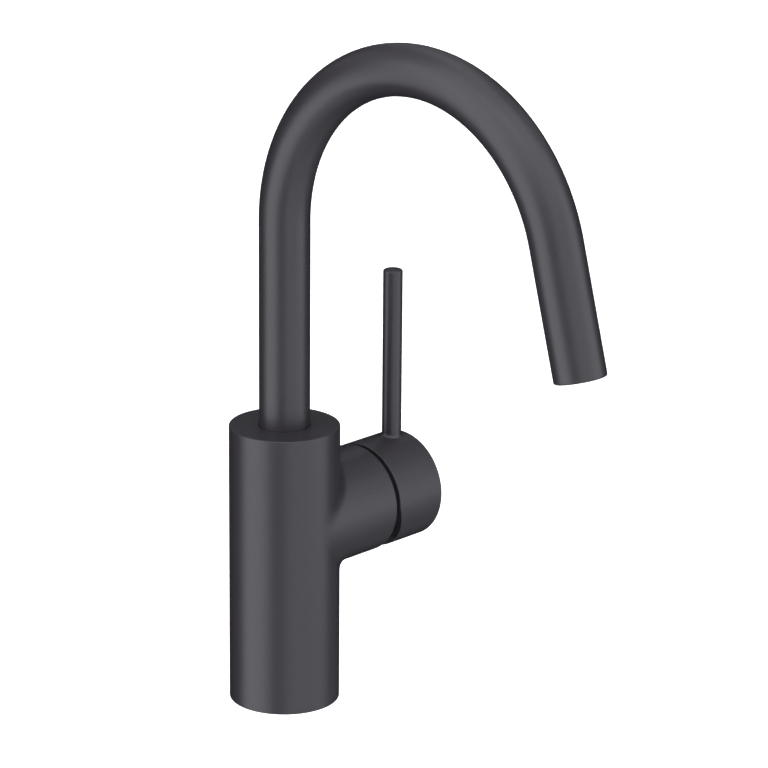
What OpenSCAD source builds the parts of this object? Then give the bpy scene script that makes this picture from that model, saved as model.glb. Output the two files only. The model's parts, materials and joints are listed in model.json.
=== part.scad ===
// Single-lever basin mixer with a swivelling arched spout and a side-mounted pin lever.
// Millimetres. +Z is up, the spout points along -Y and the lever branch along +X.
// The origin is the centre of the body's foot, on the surface that it stands on.

/* [Body] */
// Diameter of the upright body, and of the branch and handle that match it
body_d = 50; // [48:1:60]
// Height of the body's top face
body_h = 130; // [122:1:180]
// Distance of the cartridge axis below the top face
axis_drop = 46.6; // [45:0.2:60]
// Distance of the branch's end face from the body's axis
branch_reach = 47.7; // [45:0.1:60]
// Radius of the softened outer edges
edge_r = 0.6; // [0.2:0.1:1.2]
// Wall of the foot round its hollow
foot_wall = 4.5; // [4:0.1:6]
// Depth of the hollow in the foot
foot_depth = 32; // [20:1:34]
// Width of the foot's seal
seal_w = 2.4; // [1.8:0.1:2.6]
// Depth of the foot's seal
seal_h = 2; // [1.5:0.1:3]

/* [Water ways] */
// Thread diameter of each hose inlet
hose_d = 9; // [8:0.1:9.5]
// Depth of each hose thread
hose_depth = 12; // [8:1:14]
// Distance of each hose from the body's mid plane
hose_y = 8.3; // [8.1:0.1:10]
// Diameter of the hole for the fixing stud
stud_d = 6.8; // [5:0.1:8.5]
// Depth of the hole for the fixing stud
stud_depth = 14; // [8:1:18]
// Distance of the fixing stud behind the body's axis
stud_x = 12.5; // [11.5:0.1:14]

/* [Cartridge] */
// Diameter of the cartridge
cart_d = 35; // [34:0.5:37]
// Wall of the cartridge housing
cart_wall = 4; // [3.5:0.1:4.4]
// Thickness of the cartridge base
cart_base_t = 5; // [4:0.1:6]
// Thickness of each ceramic disc
disc_t = 3; // [2.4:0.1:3.4]
// Radius on which the inlet ports lie
port_ring_r = 8; // [7.6:0.1:8.3]
// Angle of each inlet port from the top
port_angle = 40; // [38:1:46]
// Diameter of each inlet port in the ceramic
inlet_port_d = 4.8; // [4:0.1:5]
// Diameter of the outlet port in the ceramic
outlet_port_d = 6; // [5:0.1:6.2]
// Largest tilt of the stem
tilt_max = 16; // [10:1:17]
// Turn of the stem each way from its middle
turn_max = 50; // [30:5:60]
// Width of the stem's square
stem_w = 8; // [7:0.1:9]

/* [Handle] */
// Length of the handle hub
hub_len = 27.7; // [27:0.1:36]
// Gap between branch and hub
hub_gap = 2.3; // [1.6:0.1:3.5]
// Wall of the hub
hub_wall = 3.4; // [2.8:0.1:3.8]
// Slant of the hub's lower rim
rim_slant = 15; // [14:0.5:20]
// Diameter of the lever pin
pin_d = 9; // [8:0.1:11]
// Length of the lever pin above the hub
pin_len = 79.3; // [40:0.1:140]
// Distance of the lever pin from the hub's end face
pin_inset = 7.7; // [7:0.1:8.5]
// Radius of the hollow flare at the pin's foot
pin_flare_r = 1.8; // [1:0.1:2.5]

/* [Spout] */
// Outer diameter of the spout tube
tube_d = 22.9; // [22:0.1:24]
// Wall of the spout tube
tube_wall = 1.2; // [1:0.1:1.5]
// Height of the upright stretch above the body
riser_len = 94.7; // [50:0.1:200]
// Radius of the arch along the tube's middle
bend_r = 80.2; // [50:0.1:120]
// Angle of the arch
bend_angle = 165; // [130:1:178]
// Length of the straight stretch after the arch
outlet_len = 57.4; // [30:0.1:120]
// Swivel of the spout each way from the front
swivel_max = 60; // [30:5:75]
// Depth of the spout's seat in the body
socket_depth = 27; // [27:0.5:29]

/* [Hidden] */
$fn = 96;

// Colours of the coating and of the materials inside
coating = "#4a494d";
brass = "#b5924c";
steel = "#9a9da1";
ceramic = "#e9e6dd";
acetal = "#d9d9d4";
grey_plastic = "#8b8f94";
dark_plastic = "#26262a";
rubber = "#1b1b1d";
limit_red = "#b23a32";

// Clearances: running and snug fits, thread flanks, pieces laid in a seat, along an axis, and past
// the end of what a blind hole holds. The last one is an overcut for clean holes
run_gap = 0.05;
snug_gap = 0.02;
thread_gap = 0.03;
seat_gap = 0.1;
axial_gap = 0.2;
hole_end_gap = 0.5;
over = 1;

// Body and branch
body_r = body_d / 2;
branch_r = body_r - 0.05;
axis_h = body_h - axis_drop;
foot_r = body_r - foot_wall;
seal_r = body_r - foot_wall / 2;

// Cartridge, measured inwards from the branch's end face
chamber_gap = 0.1;
cart_r = cart_d / 2;
chamber_depth = 33.7;
floor_x = branch_reach - chamber_depth;
base_end_x = floor_x + cart_base_t;
fixed_end_x = base_end_x + disc_t;
moving_end_x = fixed_end_x + run_gap + disc_t;
carrier_t = 4.9;
carrier_end_x = moving_end_x + carrier_t;
rotor_x = carrier_end_x + axial_gap;
rotor_len = 10.7;
rotor_end_x = rotor_x + rotor_len;
pivot_x = branch_reach - 9.7;
bore_r = cart_r - cart_wall;
lip_t = 3;
housing_end_x = rotor_end_x + seat_gap + lip_t;
collar_r = cart_r - 2.7;
shoulder_x = housing_end_x - 5.6;
nut_r = cart_r + 1.5;
nut_len = 6.5;
nut_bore_r = collar_r + 0.3;
nut_relief = 1.5;
notch_in = 2;
notch_w = 4;
notch_depth = 1.5;

// Valve: the stem's ball drives the moving disc, whose pocket joins the ports
ball_r = 2.3;
ball_x = (moving_end_x + carrier_end_x) / 2;
arm_len = pivot_x - ball_x;
stroke = arm_len * sin(tilt_max);
disc_drop = 0.5;
fixed_disc_r = bore_r - seat_gap;
moving_disc_r = bore_r - (stroke - disc_drop) - seat_gap;
pocket_r = 5.3;
pocket_depth = 1.8;
outlet_port_drop = 3;
inlet_port_y = port_ring_r * sin(port_angle);
inlet_port_z = port_ring_r * cos(port_angle);
inlet_way_d = inlet_port_d + 0.8;
outlet_way_d = outlet_port_d + 0.4;
port_seal_t = 1.5;
port_seal_w = 1.5;
locating_pin_r = 1.8;
locating_pin_len = 3;
locating_pin_y = 12.5;
locating_pin_z = -4;

// Rotor and stem
neck_r = bore_r - 2;
neck_end_x = housing_end_x + 3;
slot_w = stem_w + 2 * seat_gap;
eye_half_x = 5;
eye_half_z = stem_w / 2 + 1.5;
swing_gap = 0.5;
slot_half_z = eye_half_z * cos(tilt_max) + eye_half_x * sin(tilt_max) + swing_gap;
pivot_r = 2;
pivot_inset = 1;
lug_half = 8;
lug_r = neck_r + 1.5;
lug_t = 1.6;
limit_t = 2;
stop_gap = 0.5;
prong_len = 2.6;
prong_y = 8.1;
arm_r = 1.7;

// Dome round the pivot, kept clear of the hub's inner rim
hub_r = branch_r;
rim_x = branch_reach + hub_gap;
hub_end_x = rim_x + hub_len;
hub_bore_r = hub_r - hub_wall;
dome_gap = 0.8;
dome_t = 2;
dome_r = norm([rim_x - pivot_x, hub_bore_r]) - dome_gap;
dome_in_r = dome_r - dome_t;
dome_hole_gap = 3;
dome_hole = tilt_max + atan(stem_w * sqrt(0.5) / dome_in_r) + dome_hole_gap;
dome_face_angle = acos((branch_reach - pivot_x) / dome_r);
dome_in_angle = acos((branch_reach - pivot_x) / dome_in_r);
dome_foot_r = dome_in_r * sin(dome_in_angle);
spigot_len = 2.2;
spigot_in_r = dome_foot_r - 0.6;
spigot_r = dome_foot_r + 0.9;

// Inside of the hub
hub_end_wall = 3.7;
hub_floor_x = hub_end_x - hub_end_wall;
boss_r = stem_w * sqrt(0.5) + 2.8;
boss_gap = 0.6;
boss_x = pivot_x + dome_r + boss_gap;
stem_end_x = hub_floor_x - 2;
pin_x = hub_end_x - pin_inset;
pin_r = pin_d / 2;
pin_top_r = 0.8;
pin_thread_r = 3;
pin_thread_len = 12;
pin_boss_r = pin_thread_r + 2.5;
grub_r = 2.5;
grub_len = 7;
grub_boss_r = grub_r + 2.5;
grub_x = (boss_x + stem_end_x) / 2;
rib_t = 4;
plug_len = 4;

// Spout, its seat in the body and its guide rings, all placed down from the top face
tube_r = tube_d / 2;
bore_tube_r = tube_r - tube_wall;
tube_insert = 6;
riser_top = body_h + riser_len;
socket_r = tube_r + 0.2;
plenum_r = socket_r - 0.9;
plenum_h = 3;
socket_z = body_h - socket_depth + plenum_h;
connector_r = tube_r - 0.15;
connector_z = socket_z + axial_gap;
connector_bore_r = 6.5;
tube_z = body_h - tube_insert;
brazed_len = 10;
glide_h = 2.4;
glide_t = 1;
glide_low_z = connector_z + 0.4;
glide_high_z = tube_z - 0.8 - glide_h;
ring_r = 0.85;
ring_mid_r = socket_r - run_gap - ring_r;
ring_groove_h = 2.2;
ring_low_z = glide_low_z + glide_h + 1.8;
ring_high_z = ring_low_z + 3.4;
dog_r = 1.6;
dog_groove_r = connector_r - 1.7;
dog_groove_h = 2 * dog_r + 0.4;
dog_z = (ring_high_z + ring_groove_h / 2 + glide_high_z) / 2;
dog_half = asin(dog_r / dog_groove_r) + 0.5;
screw_r = 2.5;
screw_in = 0.4;
screw_recess = 1.5;
dog_end_gap = 0.3;
hex_key = 2.5;

// Water ways in the body
riser_way_r = 4;
riser_way_x = -6.5;
inlet_rise_r = 3.5;
inlet_rise_x = 2;

// Mouth of the spout, measured inwards from its end face. The straight stretch laps the arch a
// little and is a hair thicker there, so that the two become one tube
end_r = 0.5;
lap_len = 0.2;
lap_step = 0.01;
mouth_step = 0.2;
bush_lip = 1;
bush_len = 16;
bush_r = bore_tube_r - run_gap;
aerator_r = bore_tube_r - 1.45;
aerator_h = 10;
aerator_z = bush_lip + 0.4;
aerator_wall = 1.4;
aerator_in_r = aerator_r - aerator_wall;
seal_t = 1;
regulator_h = 2;
jet_h = 1.8;
jet_gap = 1.6;
jet_hole_r = 0.5;
jet_rows = [[2.9, 10], [5.1, 20]];
slot_reach = 4.1;
slot_rim = 1.4;
grid_h = 2;
grid_pitch = 1.9;
grid_bar = 0.5;
grid_lift = 0.6;

// Points of an arc round c, from angle a to angle b
function arc(c, r, a, b, n = 6) =
    [for (i = [0:n]) c + r * [cos(a + (b - a) * i / n), sin(a + (b - a) * i / n)]];

// Lays children on the branch's axis: their +Z becomes +X and their -X becomes +Z
module on_branch() {
    translate([0, 0, axis_h]) rotate([0, 90, 0]) children();
}

// Places children at a port, given across and above the branch's axis
module at_port(y, z) {
    translate([-z, y, 0]) children();
}

module at_inlets() {
    for (side = [-1, 1]) at_port(side * inlet_port_y, inlet_port_z) children();
}

module at_outlet_port() {
    at_port(0, -outlet_port_drop) children();
}

// Ring about +Z from height z0 to z1
module ring(r_out, r_in, z0, z1) {
    rotate_extrude() translate([r_in, z0]) square([r_out - r_in, z1 - z0]);
}

// Bore about +Z from height z0 to z1
module rod(r, z0, z1) {
    translate([0, 0, z0]) cylinder(r = r, h = z1 - z0);
}

// Lays children on the tube's middle at the mouth: their +Z runs out with the water
module at_mouth() {
    translate([0, -bend_r, riser_top]) rotate([bend_angle, 0, 0])
        translate([0, bend_r, outlet_len]) children();
}

// Socket screw along +Z with its head end at z1
module socket_screw(r, z0, z1, key) {
    difference() {
        rod(r, z0, z1);
        translate([0, 0, z1 - key]) cylinder(d = key / cos(30), h = key + over, $fn = 6);
    }
}

module body_outside() {
    rotate_extrude() polygon(concat(
        [[0, 0], [body_r - edge_r, 0], [body_r, edge_r]],
        arc([body_r - edge_r, body_h - edge_r], edge_r, 0, 90),
        [[0, body_h]]));
    on_branch() rotate_extrude() polygon(concat(
        [[0, 0], [branch_r, 0]],
        arc([branch_r - edge_r, branch_reach - edge_r], edge_r, 0, 90),
        [[0, branch_reach]]));
}

module cartridge_chamber() {
    on_branch() {
        rod(cart_r + chamber_gap, floor_x, branch_reach + over);
        rod(nut_r, shoulder_x - nut_relief, branch_reach + over);
        rod(spigot_r, branch_reach - spigot_len, branch_reach + over);
        for (side = [-1, 1]) at_port(side * locating_pin_y, locating_pin_z)
            rod(locating_pin_r + seat_gap, floor_x - locating_pin_len - hole_end_gap, floor_x + over);
    }
}

module water_ways() {
    on_branch() {
        at_inlets() rod(inlet_way_d / 2, inlet_rise_x, floor_x + over);
        at_outlet_port() rod(outlet_way_d / 2, riser_way_x, floor_x + over);
    }
    for (side = [-1, 1]) translate([inlet_rise_x, side * hose_y, 0]) {
        rod(hose_d / 2, foot_depth - over, foot_depth + hose_depth);
        rod(inlet_rise_r, foot_depth, axis_h + inlet_port_z + inlet_way_d / 2);
    }
    translate([riser_way_x, 0, 0])
        rod(riser_way_r, axis_h - outlet_port_drop - outlet_way_d / 2, body_h - socket_depth + over);
}

module spout_seat() {
    rod(plenum_r, body_h - socket_depth, body_h);
    rod(socket_r, socket_z, body_h + over);
    translate([0, 0, dog_z]) rotate([-90, 0, 0]) rod(screw_r + thread_gap, plenum_r, body_r + over);
}

module mixer_body() {
    color(coating) difference() {
        body_outside();
        rod(foot_r, -over, foot_depth);
        ring(seal_r + seal_w / 2, seal_r - seal_w / 2, -over, seal_h);
        translate([-stud_x, 0, 0]) rod(stud_d / 2, foot_depth - over, foot_depth + stud_depth);
        water_ways();
        cartridge_chamber();
        spout_seat();
    }
}

module base_seal() {
    color(rubber) ring(seal_r + seal_w / 2 - run_gap, seal_r - seal_w / 2 + run_gap, 0, seal_h);
}

module cartridge_base() {
    color(acetal) on_branch() difference() {
        union() {
            rod(cart_r, floor_x, base_end_x);
            for (side = [-1, 1]) at_port(side * locating_pin_y, locating_pin_z)
                rod(locating_pin_r, floor_x - locating_pin_len, floor_x + over);
        }
        at_inlets() {
            rod(inlet_way_d / 2, floor_x - over, base_end_x + over);
            rod(inlet_way_d / 2 + port_seal_w + seat_gap, floor_x - over, floor_x + port_seal_t);
        }
        at_outlet_port() {
            rod(outlet_way_d / 2, floor_x - over, base_end_x + over);
            rod(outlet_way_d / 2 + port_seal_w + seat_gap, floor_x - over, floor_x + port_seal_t);
        }
    }
}

module port_seals() {
    color(rubber) on_branch() {
        at_inlets() ring(inlet_way_d / 2 + port_seal_w, inlet_way_d / 2, floor_x, floor_x + port_seal_t);
        at_outlet_port()
            ring(outlet_way_d / 2 + port_seal_w, outlet_way_d / 2, floor_x, floor_x + port_seal_t);
    }
}

module ceramic_disc_fixed() {
    color(ceramic) on_branch() difference() {
        rod(fixed_disc_r, base_end_x, fixed_end_x);
        at_inlets() rod(inlet_port_d / 2, base_end_x - over, fixed_end_x + over);
        at_outlet_port() rod(outlet_port_d / 2, base_end_x - over, fixed_end_x + over);
    }
}

module cartridge_housing() {
    color(acetal) on_branch() rotate_extrude() polygon([
        [bore_r, base_end_x], [cart_r, base_end_x], [cart_r, shoulder_x], [collar_r, shoulder_x],
        [collar_r, housing_end_x], [neck_r + run_gap, housing_end_x],
        [neck_r + run_gap, housing_end_x - lip_t], [bore_r, housing_end_x - lip_t]]);
}

// Stops the rotor's lug at each end of its turn
module temperature_limit_ring() {
    stop_angle = turn_max + lug_half + stop_gap;
    color(limit_red) on_branch() difference() {
        ring(collar_r, neck_r + axial_gap, housing_end_x, housing_end_x + limit_t);
        rotate([0, 0, 180 - stop_angle]) rotate_extrude(angle = 2 * stop_angle)
            translate([neck_r - over, housing_end_x - over])
                square([lug_r + axial_gap - neck_r + over, limit_t + 2 * over]);
    }
}

module cartridge_nut() {
    nut_end = shoulder_x + nut_len;
    color(brass) on_branch() difference() {
        ring(nut_r - thread_gap, nut_bore_r, shoulder_x, nut_end);
        for (a = [30:60:330]) rotate([0, 0, a])
            translate([collar_r + notch_in, -notch_w / 2, nut_end - notch_depth])
                cube([nut_r, notch_w, notch_depth + over]);
    }
}

module dome_sleeve() {
    centre = [0, pivot_x];
    color(dark_plastic) on_branch() rotate_extrude() polygon(concat(
        [[spigot_r - seat_gap, branch_reach], [spigot_r - seat_gap, branch_reach - spigot_len + seat_gap],
         [spigot_in_r, branch_reach - spigot_len + seat_gap]],
        arc(centre, dome_in_r, 90 - dome_in_angle, 90 - dome_hole, 20),
        arc(centre, dome_r, 90 - dome_hole, 90 - dome_face_angle, 20)));
}

module spout_retaining_screw() {
    tip_y = dog_groove_r + dog_end_gap;
    thread_y = socket_r + screw_in;
    color(steel) translate([0, 0, dog_z]) rotate([-90, 0, 0]) {
        rod(dog_r, tip_y, thread_y + over);
        socket_screw(screw_r, thread_y, body_r - screw_recess, hex_key);
    }
}

// Plan of the rotor's two prongs, which guide the carrier by its flats
module prongs() {
    intersection() {
        rod(bore_r - 0.3, rotor_x - prong_len, rotor_x + over);
        for (side = [0, 180]) rotate([0, 0, side])
            translate([-bore_r, prong_y, rotor_x - prong_len]) cube([2 * bore_r, bore_r, prong_len + over]);
    }
}

module cartridge_rotor() {
    color(grey_plastic) on_branch() difference() {
        union() {
            rod(bore_r - run_gap, rotor_x, rotor_end_x);
            rod(neck_r, rotor_end_x - over, neck_end_x);
            prongs();
            rotate([0, 0, 180 - lug_half]) rotate_extrude(angle = 2 * lug_half)
                translate([neck_r - over, housing_end_x + axial_gap])
                    square([lug_r - neck_r + over, lug_t]);
        }
        translate([-slot_half_z, -slot_w / 2, rotor_x - prong_len - over])
            cube([2 * slot_half_z, slot_w, neck_end_x]);
        translate([0, 0, pivot_x]) rotate([90, 0, 0]) rod(pivot_r + snug_gap, -bore_r, bore_r);
    }
}

module stem_pivot_pin() {
    color(steel) on_branch() translate([0, 0, pivot_x]) rotate([90, 0, 0])
        rod(pivot_r, pivot_inset - bore_r, bore_r - pivot_inset);
}

// The carrier and the moving disc rest a little below the branch's axis
module on_slide() {
    on_branch() translate([disc_drop, 0, 0]) children();
}

module disc_carrier() {
    color(grey_plastic) difference() {
        on_slide() intersection() {
            rod(moving_disc_r - axial_gap, moving_end_x, carrier_end_x);
            translate([-bore_r, -prong_y + seat_gap, moving_end_x])
                cube([2 * bore_r, 2 * (prong_y - seat_gap), carrier_t]);
        }
        on_branch() rod(ball_r + seat_gap, moving_end_x - over, carrier_end_x + over);
    }
}

module ceramic_disc_moving() {
    color(ceramic) on_slide() difference() {
        rod(moving_disc_r, fixed_end_x + run_gap, moving_end_x);
        rod(pocket_r, fixed_end_x - over, fixed_end_x + run_gap + pocket_depth);
    }
}

module cartridge_stem() {
    color(steel) translate([pivot_x, 0, axis_h]) difference() {
        union() {
            translate([-arm_len, 0, 0]) sphere(r = ball_r);
            translate([-arm_len, 0, 0]) rotate([0, 90, 0]) rod(arm_r, 0, arm_len - eye_half_x + over);
            translate([-eye_half_x, -stem_w / 2, -eye_half_z])
                cube([2 * eye_half_x, stem_w, 2 * eye_half_z]);
            translate([0, -stem_w / 2, -stem_w / 2]) cube([stem_end_x - pivot_x, stem_w, stem_w]);
        }
        rotate([90, 0, 0]) rod(pivot_r + run_gap, -stem_w, stem_w);
    }
}

// Hollow cap with bosses for the stem, the lever pin and the grub screw, whose boss has a rib
module handle_hub() {
    hole_w = stem_w + run_gap;
    color(coating) difference() {
        union() {
            on_branch() rotate_extrude() polygon(concat(
                [[hub_bore_r, rim_x], [hub_r - edge_r / 2, rim_x], [hub_r, rim_x + edge_r / 2]],
                arc([hub_r - edge_r, hub_end_x - edge_r], edge_r, 0, 90),
                [[0, hub_end_x], [0, hub_floor_x], [hub_bore_r, hub_floor_x]]));
            on_branch() rod(boss_r, boss_x, hub_floor_x + over);
            translate([pin_x, 0, axis_h]) rod(pin_boss_r, 0, hub_bore_r + hub_wall / 2);
            translate([grub_x, 0, axis_h]) rod(grub_boss_r, -hub_bore_r - hub_wall / 2, 0);
            translate([grub_x, -rib_t / 2, axis_h - hub_bore_r - hub_wall / 2])
                cube([hub_floor_x - grub_x + over, rib_t, hub_bore_r + hub_wall / 2]);
        }
        translate([boss_x - over, -hole_w / 2, axis_h - hole_w / 2])
            cube([stem_end_x + hole_end_gap - boss_x + over, hole_w, hole_w]);
        translate([pin_x, 0, axis_h])
            rod(pin_thread_r + thread_gap, hub_r - pin_thread_len - hole_end_gap, hub_r + over);
        translate([grub_x, 0, axis_h]) rod(grub_r + thread_gap, -hub_r - over, 0);
        translate([rim_x, 0, axis_h]) rotate([0, -rim_slant, 0])
            translate([-body_d, -body_d, -2 * body_d]) cube([body_d, 2 * body_d, 2 * body_d]);
    }
}

module lever_pin() {
    foot_r = pin_r + pin_flare_r;
    spare = 0.2;
    sink = hub_r - sqrt(hub_r * hub_r - foot_r * foot_r) + spare;
    color(coating) translate([pin_x, 0, axis_h]) {
        difference() {
            translate([0, 0, hub_r]) rotate_extrude() polygon(concat(
                [[0, -sink], [foot_r, -sink]],
                arc([foot_r, pin_flare_r], pin_flare_r, 270, 180),
                arc([pin_r - pin_top_r, pin_len - pin_top_r], pin_top_r, 0, 90),
                [[0, pin_len]]));
            rotate([0, 90, 0]) cylinder(r = hub_r, h = 4 * foot_r, center = true);
        }
        rod(pin_thread_r, hub_r - pin_thread_len, hub_r + over);
    }
}

module handle_grub_screw() {
    color(steel) translate([grub_x, 0, axis_h]) rotate([180, 0, 0])
        socket_screw(grub_r, stem_w / 2, stem_w / 2 + grub_len, hex_key);
}

module screw_cover_plug() {
    color(dark_plastic) translate([grub_x, 0, axis_h]) intersection() {
        rod(grub_r, -hub_r, -hub_r + plug_len);
        rotate([0, 90, 0]) cylinder(r = hub_r - run_gap, h = 4 * grub_r, center = true);
    }
}

module tube_section() {
    difference() {
        circle(r = tube_r);
        circle(r = bore_tube_r);
    }
}

module spout_tube() {
    color(coating) {
        translate([0, 0, tube_z]) linear_extrude(riser_top - tube_z) tube_section();
        translate([0, -bend_r, riser_top]) rotate([90, 0, 90])
            rotate_extrude(angle = bend_angle, $fn = 192) translate([bend_r, 0]) tube_section();
        at_mouth() rotate_extrude() polygon(concat(
            [[bore_tube_r - lap_step, -outlet_len - lap_len],
             [tube_r + lap_step, -outlet_len - lap_len]],
            arc([tube_r + lap_step - end_r, -end_r], end_r, 0, 90),
            [[bore_tube_r + mouth_step, 0], [bore_tube_r - lap_step, -mouth_step]]));
    }
}

module spout_connector() {
    color(brass) difference() {
        union() {
            rod(connector_r, connector_z, tube_z);
            rod(bore_tube_r - run_gap, tube_z - over, tube_z + brazed_len);
        }
        rod(connector_bore_r, connector_z - over, tube_z + brazed_len + over);
        for (z = [glide_low_z, glide_high_z])
            ring(connector_r + over, socket_r - run_gap - glide_t - snug_gap,
                z - snug_gap, z + glide_h + snug_gap);
        for (z = [ring_low_z, ring_high_z]) translate([0, 0, z])
            ring(connector_r + over, ring_mid_r - ring_r - snug_gap,
                -ring_groove_h / 2, ring_groove_h / 2);
        rotate([0, 0, 90 - swivel_max - dog_half]) rotate_extrude(angle = 2 * (swivel_max + dog_half))
            translate([dog_groove_r, dog_z - dog_groove_h / 2]) square([connector_r, dog_groove_h]);
    }
}

module glide_ring(z) {
    color(acetal) ring(socket_r - run_gap, socket_r - run_gap - glide_t, z, z + glide_h);
}

module glide_ring_lower() {
    glide_ring(glide_low_z);
}

module glide_ring_upper() {
    glide_ring(glide_high_z);
}

module o_ring(z) {
    color(rubber) translate([0, 0, z]) rotate_extrude() translate([ring_mid_r, 0]) circle(r = ring_r);
}

module o_ring_lower() {
    o_ring(ring_low_z);
}

module o_ring_upper() {
    o_ring(ring_high_z);
}

// Places inside the mouth, counted up the tube from its end face
seat_z = aerator_z + aerator_h + seal_t;
regulator_z = aerator_z + aerator_h - regulator_h;
jet_z = regulator_z - jet_gap - jet_h;

module spout_end_bush() {
    color(brass) at_mouth() mirror([0, 0, 1]) difference() {
        rod(bush_r, bush_lip, bush_lip + bush_len);
        rod(aerator_r + thread_gap, bush_lip - over, seat_z);
        rod(aerator_in_r, seat_z - over, bush_lip + bush_len + over);
    }
}

module aerator_housing() {
    ledge_w = 0.8;
    ledge_r = aerator_in_r - ledge_w;
    key_w = 2;
    key_h = 0.35;
    color(dark_plastic) at_mouth() mirror([0, 0, 1]) difference() {
        rod(aerator_r, aerator_z, aerator_z + aerator_h);
        rod(aerator_in_r, aerator_z + grid_lift, aerator_z + aerator_h + over);
        rod(ledge_r, aerator_z - over, aerator_z + aerator_h);
        for (a = [0:90:270]) rotate([0, 0, a])
            translate([ledge_r - over, -key_w / 2, aerator_z - over]) cube([aerator_r, key_w, over + key_h]);
    }
}

module aerator_seal() {
    color(rubber) at_mouth() mirror([0, 0, 1])
        ring(aerator_r - seat_gap, aerator_in_r, aerator_z + aerator_h, seat_z);
}

module flow_regulator() {
    slots = 8;
    way_w = 1.2;
    slot_in_r = aerator_in_r - slot_reach;
    color(acetal) at_mouth() mirror([0, 0, 1]) difference() {
        rod(aerator_in_r - run_gap, regulator_z, regulator_z + regulator_h);
        for (i = [0:slots - 1]) rotate([0, 0, i * 360 / slots])
            translate([slot_in_r, -way_w / 2, regulator_z - over])
                cube([slot_reach - slot_rim, way_w, regulator_h + 2 * over]);
    }
}

module jet_plate() {
    color(acetal) at_mouth() mirror([0, 0, 1]) difference() {
        rod(aerator_in_r - run_gap, jet_z, jet_z + jet_h);
        for (row = jet_rows) for (i = [0:row[1] - 1]) rotate([0, 0, i * 360 / row[1]])
            translate([row[0], 0, 0]) rod(jet_hole_r, jet_z - over, jet_z + jet_h + over);
    }
}

// Square grid that straightens the stream, held on the housing's ledge
module outlet_grid() {
    grid_r = aerator_in_r - run_gap;
    rim_w = 0.6;
    cell_reach = grid_r - rim_w;
    lines = floor(cell_reach / grid_pitch);
    z = aerator_z + grid_lift;
    hole = grid_pitch - grid_bar;
    color(dark_plastic) at_mouth() mirror([0, 0, 1]) difference() {
        rod(grid_r, z, z + grid_h);
        for (i = [-lines:lines]) for (j = [-lines:lines])
            if (norm([abs(i) * grid_pitch + hole / 2, abs(j) * grid_pitch + hole / 2]) < cell_reach)
                translate([i * grid_pitch - hole / 2, j * grid_pitch - hole / 2, z - over])
                    cube([hole, hole, grid_h + 2 * over]);
    }
}

mixer_body();
base_seal();
cartridge_base();
port_seals();
ceramic_disc_fixed();
cartridge_housing();
temperature_limit_ring();
cartridge_nut();
dome_sleeve();
spout_retaining_screw();
cartridge_rotor();
stem_pivot_pin();
disc_carrier();
ceramic_disc_moving();
cartridge_stem();
handle_hub();
lever_pin();
handle_grub_screw();
screw_cover_plug();
spout_tube();
spout_connector();
glide_ring_lower();
glide_ring_upper();
o_ring_lower();
o_ring_upper();
spout_end_bush();
aerator_housing();
aerator_seal();
flow_regulator();
jet_plate();
outlet_grid();
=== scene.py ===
"""Looks of a single-lever basin mixer with a swivelling arched spout and a pin lever.

Metres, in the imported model's frame: +Z up, the spout along -Y, the lever branch along +X.
"""
import json
from math import radians, tan

import bmesh
import bpy
import numpy as np
from mathutils import Matrix, Vector


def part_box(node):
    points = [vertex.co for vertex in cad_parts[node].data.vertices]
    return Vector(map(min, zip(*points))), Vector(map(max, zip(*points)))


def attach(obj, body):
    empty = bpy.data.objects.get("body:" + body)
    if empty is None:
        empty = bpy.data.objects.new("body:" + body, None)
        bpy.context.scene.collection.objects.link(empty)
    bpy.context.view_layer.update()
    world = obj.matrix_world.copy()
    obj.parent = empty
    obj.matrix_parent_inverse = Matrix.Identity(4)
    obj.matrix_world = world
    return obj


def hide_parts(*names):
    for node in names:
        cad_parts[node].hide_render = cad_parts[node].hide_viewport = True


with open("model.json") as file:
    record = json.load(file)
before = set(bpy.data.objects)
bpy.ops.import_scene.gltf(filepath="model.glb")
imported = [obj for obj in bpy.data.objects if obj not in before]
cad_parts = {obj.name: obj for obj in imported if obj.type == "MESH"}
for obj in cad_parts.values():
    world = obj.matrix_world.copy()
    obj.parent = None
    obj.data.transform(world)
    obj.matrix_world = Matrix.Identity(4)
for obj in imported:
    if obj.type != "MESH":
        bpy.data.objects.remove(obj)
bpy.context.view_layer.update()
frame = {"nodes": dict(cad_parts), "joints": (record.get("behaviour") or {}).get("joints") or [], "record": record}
nodes = frame["nodes"]
joints = {joint["name"]: joint for joint in frame["joints"]}
mounts = {mount["name"]: mount for mount in frame["record"]["mounts"]}
mm = 0.001

# Viewpoint: a long lens from the front left, a little above the spout, as a catalogue shows a tap.
# The place and the lens come from a fit of the tap's outline, the roll from its upright edges.
lens_at = Vector((-1.18365, -1.17411, 0.68911))
heading, tilt_down, roll = radians(46.755), radians(17.948), radians(0.487)
focal_length, film_width, far_end = 184.3, 36, 20
camera = bpy.data.objects.new("camera", bpy.data.cameras.new("camera"))
camera.data.sensor_width = film_width
camera.data.lens = focal_length
camera.data.clip_end = far_end
camera.matrix_world = (
    Matrix.Translation(lens_at)
    @ Matrix.Rotation(-heading, 4, "Z")
    @ Matrix.Rotation(radians(90) - tilt_down, 4, "X")
    @ Matrix.Rotation(roll, 4, "Z")
)
bpy.context.scene.collection.objects.link(camera)
bpy.context.scene.camera = camera


# Mixer body: a brass casting, turned outside and powder coated in a matt dark grey. The upright and
# the branch have the same diameter, so they flow into each other at the sides and meet in a small
# cast hollow above and below. Drilled for the hoses, the stud, the cartridge and the spout.
body_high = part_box("mixer_body")[1]
body_r, body_h, branch_reach = body_high.y, body_high.z, body_high.x
axis_h = joints["temperature_turn"]["pos_m"][2]

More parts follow.
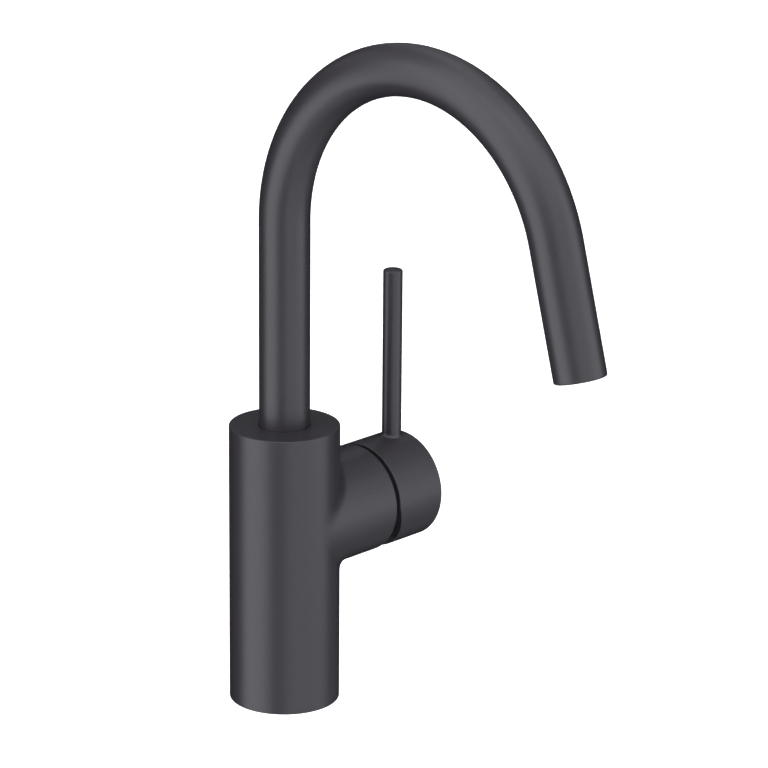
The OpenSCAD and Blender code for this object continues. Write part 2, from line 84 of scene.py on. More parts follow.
# By line: edges, foot, chamber, inlet ports, outlet port, spout seat, clearances, corners, steps
edge_r, foot_edge_r, end_edge_r, crease_r = 0.6 * mm, 0.3 * mm, 0.4 * mm, 5 * mm
foot_wall, seal_w, bare_top = 4.5 * mm, 2.4 * mm, 50 * mm
nut_relief, recess_r = 1.5 * mm, 20.5 * mm
inlet_side, inlet_rise, inlet_r, inlet_way_r = 5.14 * mm, 6.13 * mm, 2.8 * mm, 3.5 * mm
outlet_x, outlet_rise, outlet_r, outlet_way_r = -6.5 * mm, -3 * mm, 3.2 * mm, 4 * mm
seat_step, seat_below, well_depth, seat_edge_r = 0.9 * mm, 0.2 * mm, 3 * mm, 0.1 * mm
thread_gap, seat_gap, run_gap, overcut = 0.03 * mm, 0.1 * mm, 0.05 * mm, 1 * mm
weld, real_corner = 0.001 * mm, radians(30)
steps_round, steps_drill, steps_crease, steps_edge, rows_side = 192, 64, 10, 6, 9

hose_mounts = [mounts["hose_inlet_front"], mounts["hose_inlet_back"]]
hollow_top = hose_mounts[0]["pos_m"][2] - hose_mounts[0]["dims"]["length_mm"] * mm / 2


def linear(code):
    """Linear red, green, blue and alpha of an sRGB hex colour: each channel over 12.92 in the darkest
    part, and above it (channel + 0.055) / 1.055 to the power 2.4."""
    channel = np.array([int(code[i : i + 2], 16) for i in (1, 3, 5)]) / 255
    bright = ((channel + 0.055) / 1.055) ** 2.4
    return (*np.where(channel <= 0.04045, channel / 12.92, bright), 1.0)


def add_node(tree, kind, inputs=None, **settings):
    """Adds one node, sets its properties, and sets or links its input sockets."""
    node = tree.nodes.new(kind)
    for name, value in settings.items():
        setattr(node, name, value)
    for socket, value in (inputs or {}).items():
        if isinstance(value, bpy.types.NodeSocket):
            tree.links.new(value, node.inputs[socket])
        else:
            node.inputs[socket].default_value = value
    return node


def new_material(name):
    """An empty material and its node tree."""
    material = bpy.data.materials.new(name)
    material.use_nodes = True
    tree = material.node_tree
    tree.nodes.clear()
    return material, tree


def powder_coat():
    """Matt dark grey polyester powder coat, sprayed and baked: a soft, wide gloss with no sharp
    reflection, a faint orange peel just under a millimetre across, and a tone that hardly varies."""
    material, tree = new_material("matt_powder_coat")
    place = add_node(tree, "ShaderNodeTexCoord").outputs["Object"]
    peel_width, peel_depth, cloud_width = 0.8 * mm, 0.05 * mm, 9 * mm
    peel = add_node(tree, "ShaderNodeTexNoise", {"Vector": place, "Scale": 1 / peel_width, "Detail": 2.0})
    cloud = add_node(
        tree, "ShaderNodeTexNoise", {"Vector": place, "Scale": 1 / cloud_width, "Detail": 3.0}
    ).outputs["Fac"]
    tone = add_node(
        tree, "ShaderNodeMix",
        {"Factor": cloud, "A": linear("#272528"), "B": linear("#292729")}, data_type="RGBA",
    )
    gloss = add_node(
        tree, "ShaderNodeMapRange",
        {"Value": cloud, "From Min": 0.3, "From Max": 0.7, "To Min": 0.37, "To Max": 0.39},
    )
    bump = add_node(
        tree, "ShaderNodeBump", {"Height": peel.outputs["Fac"], "Strength": 0.6, "Distance": peel_depth}
    )
    shader = add_node(
        tree, "ShaderNodeBsdfPrincipled",
        {"Base Color": tone.outputs["Result"], "Roughness": gloss.outputs["Result"],
         "Normal": bump.outputs["Normal"], "IOR": 1.5},
    )
    add_node(tree, "ShaderNodeOutputMaterial", {"Surface": shader.outputs["BSDF"]})
    return material


def machined_brass():
    """Brass cut bare by the tool inside the foot, gone dull: satin, with a fine grain of tool marks."""
    material, tree = new_material("machined_brass")
    place = add_node(tree, "ShaderNodeTexCoord").outputs["Object"]
    mark_width, mark_depth = 0.3 * mm, 0.01 * mm
    marks = add_node(tree, "ShaderNodeTexNoise", {"Vector": place, "Scale": 1 / mark_width, "Detail": 2.0})
    bump = add_node(
        tree, "ShaderNodeBump", {"Height": marks.outputs["Fac"], "Strength": 0.4, "Distance": mark_depth}
    )
    shader = add_node(
        tree, "ShaderNodeBsdfPrincipled",
        {"Base Color": linear("#b59c70"), "Metallic": 1.0, "Roughness": 0.42,
         "Normal": bump.outputs["Normal"]},
    )
    add_node(tree, "ShaderNodeOutputMaterial", {"Surface": shader.outputs["BSDF"]})
    return material


def arc_between(centre, start, end, steps):
    """Arc about a centre from start to end: the two radii mixed in the shares
    sin((1 - t) w) / sin w and sin(t w) / sin w, where w is the angle between them. Arrays of
    centres give a patch, with a row for each step."""
    a, b = start - centre, end - centre
    lengths = np.linalg.norm(a, axis=-1) * np.linalg.norm(b, axis=-1)
    cosine = np.clip((a * b).sum(-1) / lengths, -1, 1)
    w = np.maximum(np.arccos(cosine), 1e-6)[..., None]
    t = np.linspace(0, 1, steps + 1).reshape(-1, *[1] * w.ndim)
    return centre + (np.sin((1 - t) * w) * a + np.sin(t * w) * b) / np.sin(w)


def rounded(corners):
    """Profile whose corners (radius from the axis, height, rounding) become arcs: the arc's ends lie
    rounding / tan(half the corner's angle) from the corner."""
    points = [np.array(corner[:2]) for corner in corners]
    line = []
    for i, (at, corner) in enumerate(zip(points, corners)):
        if len(corner) == 2:
            line.append(at[None])
            continue
        back, on = points[i - 1] - at, points[i + 1] - at
        back, on = back / np.linalg.norm(back), on / np.linalg.norm(on)
        half = np.arccos(np.clip(back @ on, -1, 1)) / 2
        reach, middle = corner[2] / np.tan(half), back + on
        centre = at + middle / np.linalg.norm(middle) * corner[2] / np.sin(half)
        line.append(arc_between(centre, at + back * reach, at + on * reach, steps_edge))
    return np.concatenate(line)


def flat_end(r, level, edge):
    """Radii and heights of a flat round end: a side of radius r turns in over a rounded edge at a
    level and runs to the axis. A negative edge turns in from above the level."""
    return rounded([(r, level - 2 * edge), (r, level, abs(edge)), (0, level)])[1:].T


def turned(profile, steps=steps_round):
    """Patch of a profile turned about +Z: x = r cos a, y = r sin a, z as in the profile."""
    profile = np.asarray(profile, float)
    a = np.linspace(0, 2 * np.pi, steps + 1)
    r, z = profile[:, :1], profile[:, 1:]
    return np.stack([r * np.cos(a), r * np.sin(a), z + 0 * a], axis=-1)


def drill(r, start, stop, at=(0, 0), steps=steps_drill):
    """Closed cylinder along +Z from start to stop, with its axis at a point across it."""
    rod = turned([(0, start), (r, start), (r, stop), (0, stop)], steps)
    return rod + np.array([*at, 0])


def along_branch(points):
    """Lays points on the branch's axis: their +Z becomes +X and their -X becomes +Z."""
    return np.stack([points[..., 2], points[..., 1], axis_h - points[..., 0]], axis=-1)


def mesh_of(name, *patches):
    """One closed mesh from patches of points, rows by columns by xyz. Each point joins its neighbours
    in its row and in the next one. Points that coincide become one, which closes seams and poles,
    and faces are turned outwards."""
    corners, first = [], 0
    for patch in patches:
        rows, columns = patch.shape[:2]
        at = first + np.arange(rows * columns).reshape(rows, columns)
        four = [at[:-1, :-1], at[:-1, 1:], at[1:, 1:], at[1:, :-1]]
        corners.append(np.stack(four, axis=-1).reshape(-1, 4))
        first += rows * columns
    points = np.concatenate([patch.reshape(-1, 3) for patch in patches])
    corners = np.concatenate(corners)
    mesh = bpy.data.meshes.new(name)
    mesh.vertices.add(len(points))
    mesh.vertices.foreach_set("co", points.astype(np.float32).ravel())
    mesh.loops.add(corners.size)
    mesh.loops.foreach_set("vertex_index", corners.astype(np.int32).ravel())
    mesh.polygons.add(len(corners))
    mesh.polygons.foreach_set("loop_start", np.arange(0, corners.size, 4, dtype=np.int32))
    mesh.update(calc_edges=True)
    work = bmesh.new()
    work.from_mesh(mesh)
    bmesh.ops.remove_doubles(work, verts=work.verts, dist=weld)
    bmesh.ops.recalc_face_normals(work, faces=work.faces)
    work.to_mesh(mesh)
    work.free()
    return mesh


def combine(mesh, tools, operation):
    """The mesh after one boolean with each tool mesh in turn, such as a drill that is taken away."""
    stock = bpy.data.objects.new("stock", mesh)
    bpy.context.scene.collection.objects.link(stock)
    for tool_mesh in tools:
        tool = bpy.data.objects.new("tool", tool_mesh)
        bpy.context.scene.collection.objects.link(tool)
        cut = stock.modifiers.new("cut", "BOOLEAN")
        cut.operation = operation
        cut.solver = "MANIFOLD"
        cut.object = tool
        view = bpy.context.evaluated_depsgraph_get()
        done = bpy.data.meshes.new_from_object(stock.evaluated_get(view))
        stock.modifiers.clear()
        stock.data = done
        bpy.data.objects.remove(tool)
    bpy.data.objects.remove(stock)
    return done


def finish_piece(name, mesh, material, body, replaced):
    """Makes a mesh a piece: smooth but for real corners, with its finish, on the body it moves with."""
    mesh.materials.clear()
    mesh.materials.append(material)
    mesh.shade_smooth()
    mesh.set_sharp_from_angle(angle=real_corner)
    piece = bpy.data.objects.new(name, mesh)
    bpy.context.scene.collection.objects.link(piece)
    flats = piece.modifiers.new("flat_faces", "WEIGHTED_NORMAL")
    flats.keep_sharp = True
    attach(piece, body)
    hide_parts(replaced)


def casting():
    """Patches of the body's outside. At the angle a round the branch both cylinders reach y = R cos a,
    and they cross at x = |z'| = R |sin a|. In each such upright slice an arc of the crease's radius
    fills the corner, from the upright's side above the crossing to the branch's side beyond it. Where
    the cylinders only touch, at y = R and -R, the slices end in a flat piece between their arcs."""
    a = np.linspace(0, np.pi, steps_round // 2 + 1)
    depth, cross = body_r * np.cos(a), body_r * np.sin(a)
    mirror_y, mirror_z = np.array([1, -1, 1]), np.array([1, 1, -1])

    def slices(x, rise):
        return np.stack([x, depth, rise], axis=-1)

    middle = slices(cross + crease_r, cross + crease_r)
    on_upright, on_branch = slices(cross, cross + crease_r), slices(cross + crease_r, cross)
    crease = arc_between(middle, on_upright, on_branch, steps_crease)
    share = np.linspace(-1, 1, 2 * steps_crease + 1)
    arc_x, arc_rise = crease[:, :1, 0], crease[:, :1, 2]
    flat = np.stack([arc_x + 0 * share, body_r + 0 * arc_x + 0 * share, arc_rise * share], axis=-1)

    # The upright: a band behind the crease, and its side above and below that, up to the edges
    behind = np.stack([-body_r * np.sin(a), -body_r * np.cos(a), 0 * a + crease_r], axis=-1)
    band = behind * np.array([1, 1, 0]) + share[:, None, None] * np.array([0, 0, crease_r])
    seam = np.concatenate([crease[0], behind[1:]])
    t = np.linspace(0, 1, rows_side)[:, None, None]
    upward = np.array([0, 0, 1])
    above = seam + t * (body_h - edge_r - axis_h - seam[:, 2:]) * upward
    below = seam + t * (axis_h - foot_edge_r - seam[:, 2:]) * upward
    plan = seam[:, :2] / body_r
    ends = []
    for r, z in (flat_end(body_r, body_h, edge_r), flat_end(body_r, 0, -foot_edge_r)):
        r, z = r[:, None, None], z[:, None, None]
        ends.append(np.concatenate([r * plan, z + 0 * plan[:, :1]], axis=-1))

    # The branch: its side from the crease out to its edge, and its face
    around = np.concatenate([crease[-1], crease[-1, -2::-1] * mirror_z])
    branch = around + t * (branch_reach - end_edge_r - around[:, :1]) * np.array([1, 0, 0])
    plan = around[:, 1:] / body_r
    r, x = flat_end(body_r, branch_reach, end_edge_r)
    face = np.concatenate([x[:, None, None] + 0 * plan[:, :1], r[:, None, None] * plan], axis=-1)
    sides = [crease, crease * mirror_z, flat, flat * mirror_y, band, above, below * mirror_z, branch, face]
    return [patch + axis_h * upward for patch in sides] + ends


def foot_cuts():
    """Hollow of the foot, the groove of its seal, and the threads of the two hoses and the stud."""
    seal_r, seal_top = body_r - foot_wall / 2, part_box("base_seal")[1].z
    inner, outer = seal_r - seal_w / 2, seal_r + seal_w / 2
    yield mesh_of("foot_hollow", drill(body_r - foot_wall, -overcut, hollow_top, steps=steps_round))
    yield mesh_of("seal_groove", turned([
        (inner, -overcut), (outer, -overcut), (outer, seal_top), (inner, seal_top), (inner, -overcut)]))
    for mount in (*hose_mounts, mounts["stud_hole"]):
        r, length = mount["dims"]["r_mm"] * mm, mount["dims"]["length_mm"] * mm
        yield mesh_of("thread", drill(r, hollow_top - overcut, hollow_top + length, mount["pos_m"][:2]))


def cartridge_cuts():
    """Chamber of the cartridge with its nut's thread and the dome sleeve's recess, the ports in its
    floor, two for the inlets and one for the outlet, and the way up from each hose to its port."""
    floor_x, chamber_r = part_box("port_seals")[0].x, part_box("cartridge_base")[1].y + seat_gap
    nut_low, nut_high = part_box("cartridge_nut")
    nut_r, nut_x = nut_high.y + thread_gap, nut_low.x - nut_relief
    recess_x, mouth_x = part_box("dome_sleeve")[0].x - seat_gap, branch_reach + overcut
    yield mesh_of("chamber", along_branch(turned([
        (0, floor_x), (chamber_r, floor_x), (chamber_r, nut_x), (nut_r, nut_x), (nut_r, recess_x),
        (recess_r, recess_x), (recess_r, mouth_x), (0, mouth_x)])))
    inlet_x = hose_mounts[0]["pos_m"][0]
    for y in (-inlet_side, inlet_side):
        port = drill(inlet_r, inlet_x, floor_x + overcut, (-inlet_rise, y))
        yield mesh_of("inlet_port", along_branch(port))
    port = drill(outlet_r, outlet_x, floor_x + overcut, (-outlet_rise, 0))
    yield mesh_of("outlet_port", along_branch(port))
    for mount in hose_mounts:
        way = drill(inlet_way_r, hollow_top + overcut, axis_h + inlet_rise + inlet_r, mount["pos_m"][:2])
        yield mesh_of("inlet_way", way)


def spout_cuts():
    """The way up from the outlet's port, the well and the seat of the spout's connector in the top,
    and the thread of the screw that holds the spout."""
    seat_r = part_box("glide_ring_upper")[1].y + run_gap
    seat_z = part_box("spout_connector")[0].z - seat_below
    well_r, well_z = seat_r - seat_step, seat_z - well_depth
    way = drill(outlet_way_r, axis_h + outlet_rise - outlet_r, well_z + overcut, (outlet_x, 0))
    yield mesh_of("outlet_way", way)
    yield mesh_of("spout_seat", turned(rounded([
        (0, well_z), (well_r, well_z), (well_r, seat_z), (seat_r, seat_z), (seat_r, body_h - seat_edge_r),
        (seat_r + seat_edge_r, body_h), (seat_r + seat_edge_r, body_h + overcut), (0, body_h + overcut)])))
    screw_low, screw_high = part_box("spout_retaining_screw")
    level = (screw_low.z + screw_high.z) / 2
    rod = drill((screw_high.x - screw_low.x) / 2 + thread_gap, well_r, body_r + overcut)
    yield mesh_of("screw_thread", np.stack([rod[..., 0], rod[..., 2], level - rod[..., 1]], axis=-1))


def bare_foot(mesh, metal):
    """Gives a second finish to what is cut inside the foot, where the coating is kept out: the faces
    whose middle is nearer to the axis than the foot's wall, and no higher than just above the threads."""
    mesh.materials.append(metal)
    middles = np.empty(len(mesh.polygons) * 3, np.float32)
    mesh.polygons.foreach_get("center", middles)
    x, y, z = middles.reshape(-1, 3).T
    bare = (np.hypot(x, y) < body_r - foot_wall + seat_gap) & (z < bare_top)
    mesh.polygons.foreach_set("material_index", bare.astype(np.int32))


coat = powder_coat()
cuts = [*foot_cuts(), *cartridge_cuts(), *spout_cuts()]
body_mesh = combine(mesh_of("body_casting", *casting()), cuts, "DIFFERENCE")
finish_piece("body_casting", body_mesh, coat, "root", "mixer_body")
bare_foot(body_mesh, machined_brass())


# Foot seal and cartridge: bought in pieces that lie inside the casting. The seal is moulded rubber.
# The cartridge has an acetal base and housing, lapped alumina discs, a grey rotor and a steel stem.
# The dome sleeve that closes the branch round the stem is coated like the body.
def fine_grained(name, code, gloss, grain_width, grain_depth):
    """Moulded plastic and rubber, and lapped ceramic: one even colour, with the faint grain that the
    spark-eroded mould or the lapping leaves."""
    material, tree = new_material(name)
    place = add_node(tree, "ShaderNodeTexCoord").outputs["Object"]
    grain = add_node(tree, "ShaderNodeTexNoise", {"Vector": place, "Scale": 1 / grain_width, "Detail": 3.0})
    bump = add_node(
        tree, "ShaderNodeBump", {"Height": grain.outputs["Fac"], "Strength": 0.6, "Distance": grain_depth}
    )
    shader = add_node(
        tree, "ShaderNodeBsdfPrincipled",
        {"Base Color": linear(code), "Roughness": gloss, "Normal": bump.outputs["Normal"]},
    )
    add_node(tree, "ShaderNodeOutputMaterial", {"Surface": shader.outputs["BSDF"]})
    return material


def turned_metal(name, code, gloss):
    """Turned metal: a satin shine with the fine rings that the tool leaves, drawn 0.3 mm apart so that
    they show. A wave texture has 20 / (2 pi) bands in each unit of its scale."""
    material, tree = new_material(name)
    place = add_node(tree, "ShaderNodeTexCoord").outputs["Object"]
    ring_pitch, ring_depth = 0.3 * mm, 0.01 * mm
    rings = add_node(
        tree, "ShaderNodeTexWave",
        {"Vector": place, "Scale": 2 * np.pi / 20 / ring_pitch, "Distortion": 0.4},
        wave_type="BANDS", bands_direction="Z",
    )
    bump = add_node(
        tree, "ShaderNodeBump", {"Height": rings.outputs["Fac"], "Strength": 0.3, "Distance": ring_depth}
    )
    shader = add_node(
        tree, "ShaderNodeBsdfPrincipled",
        {"Base Color": linear(code), "Metallic": 1.0, "Roughness": gloss, "Normal": bump.outputs["Normal"]},
    )
    add_node(tree, "ShaderNodeOutputMaterial", {"Surface": shader.outputs["BSDF"]})
    return material


def dress(material, *names):
    """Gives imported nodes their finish."""
    for name in names:
        nodes[name].data.materials.clear()
        nodes[name].data.materials.append(material)


# Rubber is the dullest, acetal a waxy white, nylon and POM satin, and lapped alumina the glossiest
rubber = fine_grained("moulded_epdm_rubber", "#202022", 0.62, 0.4 * mm, 0.01 * mm)
acetal = fine_grained("moulded_white_acetal", "#deded8", 0.38, 0.6 * mm, 0.004 * mm)
grey_nylon = fine_grained("moulded_grey_nylon", "#84898e", 0.45, 0.5 * mm, 0.006 * mm)
red_nylon = fine_grained("moulded_red_nylon", "#a83a32", 0.45, 0.5 * mm, 0.006 * mm)
dark_pom = fine_grained("moulded_dark_pom", "#2a2a2e", 0.5, 0.5 * mm, 0.006 * mm)
alumina = fine_grained("lapped_alumina", "#ece8de", 0.22, 0.2 * mm, 0.001 * mm)
brass = turned_metal("turned_brass", "#c9a45c", 0.3)
steel = turned_metal("turned_stainless_steel", "#b9bbbd", 0.28)
dress(rubber, "base_seal", "port_seals")
dress(acetal, "cartridge_base", "cartridge_housing")
dress(alumina, "ceramic_disc_fixed", "ceramic_disc_moving")
dress(red_nylon, "temperature_limit_ring")
dress(grey_nylon, "cartridge_rotor", "disc_carrier")
dress(brass, "cartridge_nut")
dress(steel, "stem_pivot_pin", "cartridge_stem")
dress(coat, "dome_sleeve")


# Handle cap: a zinc casting with the body's coating. Its rim is cut square above the axis and at a
# slant below it, which leaves room for the tilt. Bosses inside take the stem, pin and grub screw.
hub_low, hub_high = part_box("handle_hub")
hub_r, hub_end, rim_x = hub_high.y, hub_high.x, hub_low.x
hub_wall, hub_end_wall = 3.4 * mm, 3.7 * mm
hub_bore_r, hub_floor = hub_r - hub_wall, hub_end - hub_end_wall
rim_slant, slant_start = radians(15), 0.5 * mm
rim_edge_r, bore_edge_r, hub_edge_r, floor_fillet_r = 0.4 * mm, 0.2 * mm, 0.3 * mm, 0.8 * mm
stem_low, stem_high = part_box("cartridge_stem")
stem_w, stem_gap, end_gap = stem_high.y - stem_low.y, 0.025 * mm, 0.5 * mm
boss_x, boss_wall, screw_boss_wall, rib_t = 62.47 * mm, 2.8 * mm, 2.5 * mm, 4 * mm
pin_low, pin_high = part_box("lever_pin")
pin_x = (pin_low.x + pin_high.x) / 2
pin_thread_r, pin_thread_len = 3 * mm, 12 * mm
grub_low, grub_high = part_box("handle_grub_screw")
grub_x, grub_r = (grub_low.x + grub_high.x) / 2, (grub_high.y - grub_low.y) / 2


def cap_shell():
    """The cap turned about the branch's axis, with the rim's x moved out by d tan(slant), where d is
    the depth below the axis, eased in by d = (sqrt(h^2 + e^2) - h) / 2 from the height h."""
    shell = turned(rounded([
        (0, hub_floor), (hub_bore_r, hub_floor, floor_fillet_r), (hub_bore_r, rim_x, bore_edge_r),
        (hub_r, rim_x, rim_edge_r), (hub_r, hub_end, hub_edge_r), (0, hub_end)]))
    height = -shell[..., 0]
    depth = (np.sqrt(height**2 + slant_start**2) - height) / 2
    near_rim = np.clip((hub_floor - shell[..., 2]) / (hub_floor - rim_x), 0, 1)
    shell[..., 2] += near_rim * depth * tan(rim_slant)
    return along_branch(shell)


def block(low, high):
    """Closed box between two corners, as a four-sided patch with its ends drawn to points."""
    low, high = np.array(low), np.array(high)
    middle = (low + high) / 2
    x = np.array([low[0], high[0], high[0], low[0], low[0]])
    y = np.array([low[1], low[1], high[1], high[1], low[1]])
    shares = [(0, low[2]), (1, low[2]), (1, high[2]), (0, high[2])]
    return np.array([
        np.stack([middle[0] + s * (x - middle[0]), middle[1] + s * (y - middle[1]), z + 0 * x], axis=-1)
        for s, z in shares])


def upright(patch, x):
    """Stands a patch about +Z on the branch's axis at a distance along it."""
    return patch + np.array([x, 0, axis_h])


def cap_bosses():
    """Bosses of the stem, the pin and the grub screw, and the rib between the last and the floor."""
    wall_middle, into_floor = hub_r - hub_wall / 2, hub_floor + overcut
    stem_boss_r = stem_w * np.sqrt(0.5) + boss_wall
    yield mesh_of("stem_boss", along_branch(drill(stem_boss_r, boss_x, into_floor)))
    yield mesh_of("pin_boss", upright(drill(pin_thread_r + screw_boss_wall, 0, wall_middle), pin_x))
    yield mesh_of("grub_boss", upright(drill(grub_r + screw_boss_wall, -wall_middle, 0), grub_x))
    yield mesh_of("rib", block((grub_x, -rib_t / 2, axis_h - wall_middle), (into_floor, rib_t / 2, axis_h)))


def cap_holes():
    """Square hole of the stem, and the threads of the pin and the grub screw."""
    half, stem_end = stem_w / 2 + stem_gap, stem_high.x + end_gap
    pin_end, outside = hub_r - pin_thread_len - end_gap, hub_r + overcut
    low, high = (boss_x - overcut, -half, axis_h - half), (stem_end, half, axis_h + half)
    yield mesh_of("stem_hole", block(low, high))
    yield mesh_of("pin_thread", upright(drill(pin_thread_r + thread_gap, pin_end, outside), pin_x))
    yield mesh_of("grub_thread", upright(drill(grub_r + thread_gap, -outside, 0), grub_x))


cap_mesh = combine(mesh_of("handle_cap", cap_shell()), cap_bosses(), "UNION")
cap_mesh = combine(cap_mesh, cap_holes(), "DIFFERENCE")
finish_piece("handle_cap", cap_mesh, coat, "lever", "handle_hub")
dress(steel, "handle_grub_screw")
dress(dark_pom, "screw_cover_plug")


# Lever pin: a turned steel rod with the same coating, screwed into the top of the cap. Its foot
# flares in a small hollow curve that follows the cap's round top all the way about.
pin_r, pin_top = 4.5 * mm, pin_high.z - axis_h
pin_flare, pin_top_r, thread_chamfer = 1.8 * mm, 0.8 * mm, 0.4 * mm
steps_pin, steps_flare, rows_under = 96, 8, 4


def pin_patch():
    """The pin as rings about its axis. A ball of the flare's radius f rolls round the foot: its centre
    is (Rp + f) from the pin's axis and (Rc + f) from the cap's, so it stands at the height
    sqrt((Rc + f)^2 - ((Rp + f) sin a)^2), and it touches both on the lines to their axes."""
    a = np.linspace(0, 2 * np.pi, steps_pin + 1)
    across, ahead = np.sin(a), np.cos(a)

    def ring(r, z):
        return np.stack([r * ahead, r * across, z + 0 * a], axis=-1)

    thread_end = hub_r - pin_thread_len
    thread = [ring(0, thread_end), ring(pin_thread_r - thread_chamfer, thread_end),
              ring(pin_thread_r, thread_end + thread_chamfer)]
    under = [ring(r, np.sqrt(hub_r**2 - (r * across) ** 2))
             for r in np.linspace(pin_thread_r, pin_r, rows_under)]
    ball = np.sqrt((hub_r + pin_flare) ** 2 - ((pin_r + pin_flare) * across) ** 2)
    middle, share = ring(pin_r + pin_flare, ball), hub_r / (hub_r + pin_flare)
    foot = arc_between(middle, middle * np.array([1, share, share]), ring(pin_r, ball), steps_flare)
    t = np.linspace(0, 1, rows_side)[1:-1, None]
    side = [ring(pin_r, z) for z in ball + t * (pin_top - pin_top_r - ball)]
    crown = [ring(r, z) for r, z in zip(*flat_end(pin_r, pin_top, pin_top_r))]
    return upright(np.array([*thread, *under, *foot, *side, *crown]), pin_x)


pin_mesh = mesh_of("lever_pin_rod", pin_patch())
finish_piece("lever_pin_rod", pin_mesh, coat, "lever", "lever_pin")


# Spout: a drawn brass tube, bent over a former and coated like the body. A turned connector with two
# glide rings and two O-rings is brazed into its foot and turns in the body's seat, where a screw holds
# it. The aerator's pieces are screwed into a brass bush in its mouth.
tube_low, tube_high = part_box("spout_tube")
tube_r, tube_wall, tube_foot = tube_high.y, 1.2 * mm, tube_low.z
bend_r, bend_angle, outlet_len = 80.2 * mm, radians(165), 57.4 * mm
lip_r, lip_chamfer = 0.8 * mm, 0.2 * mm
riser_len, arch_len = tube_high.z - bend_r - tube_r - tube_foot, bend_r * bend_angle
tube_len = riser_len + arch_len + outlet_len
steps_tube, rows_riser, rows_arch, rows_outlet = 128, 10, 121, 8


def spout_path(s):
    """Middle of the tube and the way it runs, at distances s from its foot: up to the bend's start,
    then an arc of bend_r forwards, then straight on."""
    turn = np.clip((s - riser_len) / bend_r, 0, bend_angle)
    on = np.maximum(s - riser_len - arch_len, 0)
    y = -bend_r * (1 - np.cos(turn)) - on * np.sin(turn)
    z = tube_foot + np.minimum(s, riser_len) + bend_r * np.sin(turn) + on * np.cos(turn)
    ahead = np.stack([0 * s, -np.sin(turn), np.cos(turn)], axis=-1)
    return np.stack([0 * s, y, z], axis=-1), ahead


def tube_skin(s, r):
    """Rings of the tube at distances s with radii r: each is a circle across the path, x = r cos a and
    r sin a along the way that points out of the bend."""
    middle, ahead = spout_path(s)
    out = np.stack([0 * s, ahead[:, 2], -ahead[:, 1]], axis=-1)
    a = np.linspace(0, 2 * np.pi, steps_tube + 1)
    side = np.array([1.0, 0, 0])
    ring = np.cos(a)[None, :, None] * side + np.sin(a)[None, :, None] * out[:, None]
    return middle[:, None] + r[:, None, None] * ring


def tube_patch():
    """The tube's skin: up its outside, over the rounded lip, and back down its bore to the foot."""
    bore_r = tube_r - tube_wall
    rows = np.concatenate([
        np.linspace(0, riser_len, rows_riser)[:-1],
        riser_len + np.linspace(0, arch_len, rows_arch),
        tube_len - np.linspace(outlet_len, 2 * lip_r, rows_outlet)[1:]])
    lip = rounded([(tube_r, tube_len - 2 * lip_r), (tube_r, tube_len, lip_r), (bore_r, tube_len)])[1:-1]
    s = np.concatenate([rows, lip[:, 1], [tube_len, tube_len - lip_chamfer], rows[::-1], [0]])
    outside, inside = tube_r + 0 * rows, bore_r + 0 * rows
    r = np.concatenate([outside, lip[:, 0], [bore_r + lip_chamfer, bore_r], inside, [tube_r]])
    return tube_skin(s, r)


tube_mesh = mesh_of("spout_pipe", tube_patch())
finish_piece("spout_pipe", tube_mesh, coat, "spout", "spout_tube")
dress(steel, "spout_retaining_screw")
dress(brass, "spout_connector", "spout_end_bush")
dress(acetal, "glide_ring_lower", "glide_ring_upper", "flow_regulator", "jet_plate")
dress(rubber, "o_ring_lower", "o_ring_upper", "aerator_seal")
dress(dark_pom, "aerator_housing", "outlet_grid")


# Studio: a round pale table under a white sweep, and walls of soft boxes all round the tap: brightest
# to the left of the lens, with a dark gap beside it, and dim behind, which keeps the tap's edges dark.
scene = bpy.context.scene
scene.view_settings.view_transform = "Standard"
box_middle, box_distance, widest_box = Vector((0.02, -0.06, 0.16)), 1.6, 60
cool_white, cool_lift = linear("#f6f6ff")[:3], 1.077
table_r, table_sides = 4.0, 64


def white_sweep():
    """World that shows white to the camera and gives no light."""
    world = bpy.data.worlds.new("white_sweep")
    world.use_nodes = True
    tree = world.node_tree
    tree.nodes.clear()
    seen = add_node(tree, "ShaderNodeLightPath").outputs["Is Camera Ray"]
    white = add_node(tree, "ShaderNodeBackground", {"Color": linear("#ffffff"), "Strength": 1.0})
    shown = add_node(tree, "ShaderNodeMixShader", {0: seen, 2: white.outputs[0]})
    add_node(tree, "ShaderNodeOutputWorld", {"Surface": shown.outputs[0]})
    return world


def soft_box(name, azimuth, elevation, width, height, brightness):
    """Rectangular lamp that faces the tap. Azimuth is counted in degrees from the lens, to the right,
    and elevation from level. The power is pi times the area times the brightness wanted, and a
    little more, because the cool tint takes some of it."""
    turn, rise = heading + radians(180) - radians(azimuth), radians(elevation)
    toward = Vector((np.sin(turn) * np.cos(rise), np.cos(turn) * np.cos(rise), np.sin(rise)))
    lamp = bpy.data.lights.new(name, "AREA")
    lamp.shape = "RECTANGLE"
    lamp.size, lamp.size_y = width, height
    lamp.energy = np.pi * width * height * brightness * cool_lift
    lamp.color = cool_white
    holder = bpy.data.objects.new(name, lamp)
    holder.location = box_middle + toward * box_distance
    holder.rotation_mode = "QUATERNION"
    holder.rotation_quaternion = (-toward).to_track_quat("-Z", "Y")
    holder.visible_camera = False
    scene.collection.objects.link(holder)
    return holder


def soft_wall(name, left, right, low, high, brightness):
    """Wall of soft boxes between two azimuths and two elevations, none more than 60 degrees across. A
    box is 2 d tan(half its angle) high, and as wide times the cosine of its elevation."""
    columns, rows = (int(np.ceil(angle / widest_box)) for angle in (right - left, high - low))
    spread, lift = (right - left) / columns, (high - low) / rows
    for column in range(columns):
        for row in range(rows):
            azimuth, elevation = left + (column + 0.5) * spread, low + (row + 0.5) * lift
            width = 2 * box_distance * tan(radians(spread) / 2) * np.cos(radians(elevation))
            height = 2 * box_distance * tan(radians(lift) / 2)
            soft_box(name, azimuth, elevation, width, height, brightness)


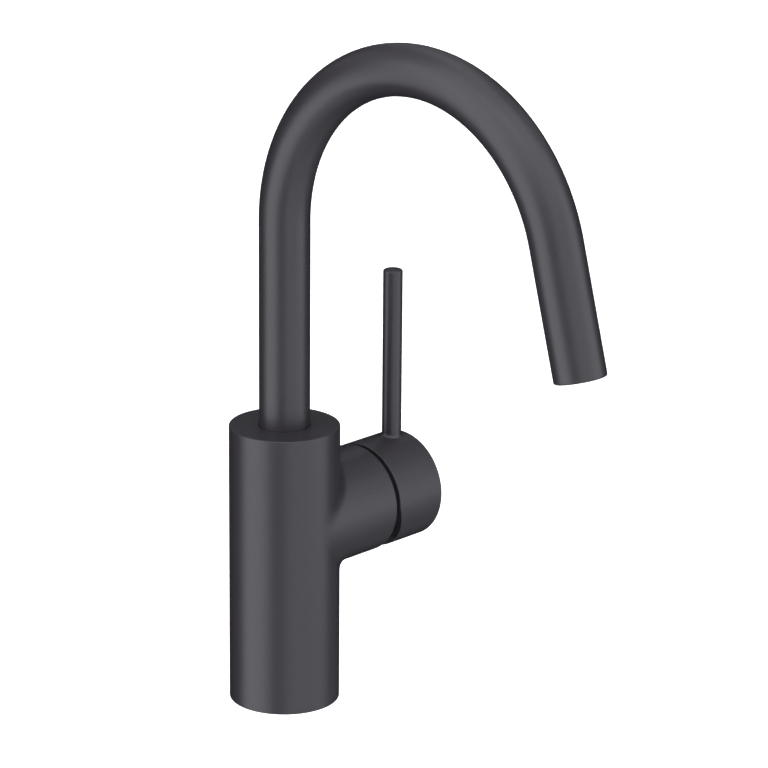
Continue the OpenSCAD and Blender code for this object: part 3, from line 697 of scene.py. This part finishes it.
def table_laminate():
    """Pale matt laminate, lit to white by a glow of its own, so that the shadow on it stays faint. It
    is clear from below, where the foot is looked at."""
    material, tree = new_material("pale_table_laminate")
    matt = add_node(tree, "ShaderNodeBsdfDiffuse", {"Color": linear("#e8e8e8")})
    glow = add_node(tree, "ShaderNodeEmission", {"Color": linear("#ffffff"), "Strength": 0.97})
    lit = add_node(tree, "ShaderNodeAddShader", {0: matt.outputs[0], 1: glow.outputs[0]})
    clear = add_node(tree, "ShaderNodeBsdfTransparent")
    below = add_node(tree, "ShaderNodeNewGeometry").outputs["Backfacing"]
    one_sided = add_node(tree, "ShaderNodeMixShader", {0: below, 1: lit.outputs[0], 2: clear.outputs[0]})
    add_node(tree, "ShaderNodeOutputMaterial", {"Surface": one_sided.outputs[0]})
    return material


scene.world = white_sweep()
soft_wall("left_wall", -92, -34, -42, 45, 2.35)
soft_wall("left_top", -92, -34, 45, 70, 1.9)
soft_wall("lens_gap", -34, 0, -42, 20, 0.35)
soft_wall("above_lens", -34, 0, 20, 70, 1.8)
soft_wall("near_wall", 0, 52, -42, 20, 1.4)
soft_wall("near_top", 0, 52, 20, 70, 1.75)
soft_wall("far_wall", 52, 100, -22, 45, 1.9)
soft_wall("far_top", 52, 100, 45, 70, 1.6)
soft_wall("far_foot", 52, 100, -42, -22, 1.1)
soft_wall("low_front", -92, 100, -65, -42, 0.9)
soft_wall("back_right_top", 100, 150, 20, 70, 0.42)
soft_wall("back_right_foot", 100, 150, -65, -22, 0.18)
soft_wall("back_left_top", -150, -92, 20, 70, 0.42)
soft_wall("back_high", 160, 200, 20, 45, 0.3)
soft_wall("back_top", 155, 205, 45, 70, 0.85)
soft_box("canopy", 0, 90, 1.1, 1.1, 1.4)
soft_box("under_glow", 0, -90, 1.4, 1.4, 0.48)

# Straight behind the tap, without gloss, so that it lights the back alone and no edge seen in front
back_fill = soft_box("back_fill", 180, -14, 1.2, 0.9, 16)
back_fill.visible_glossy = False

# The table throws no light back on the tap, and keeps none from it
table_mesh = bpy.data.meshes.new("table")
table_rim = turned([(0, 0), (table_r, 0)], table_sides)[1, :-1]
table_mesh.from_pydata(table_rim.tolist(), [], [list(range(table_sides))])
table_mesh.materials.append(table_laminate())
table = bpy.data.objects.new("table", table_mesh)
table.visible_diffuse = table.visible_glossy = table.visible_shadow = False
scene.collection.objects.link(table)
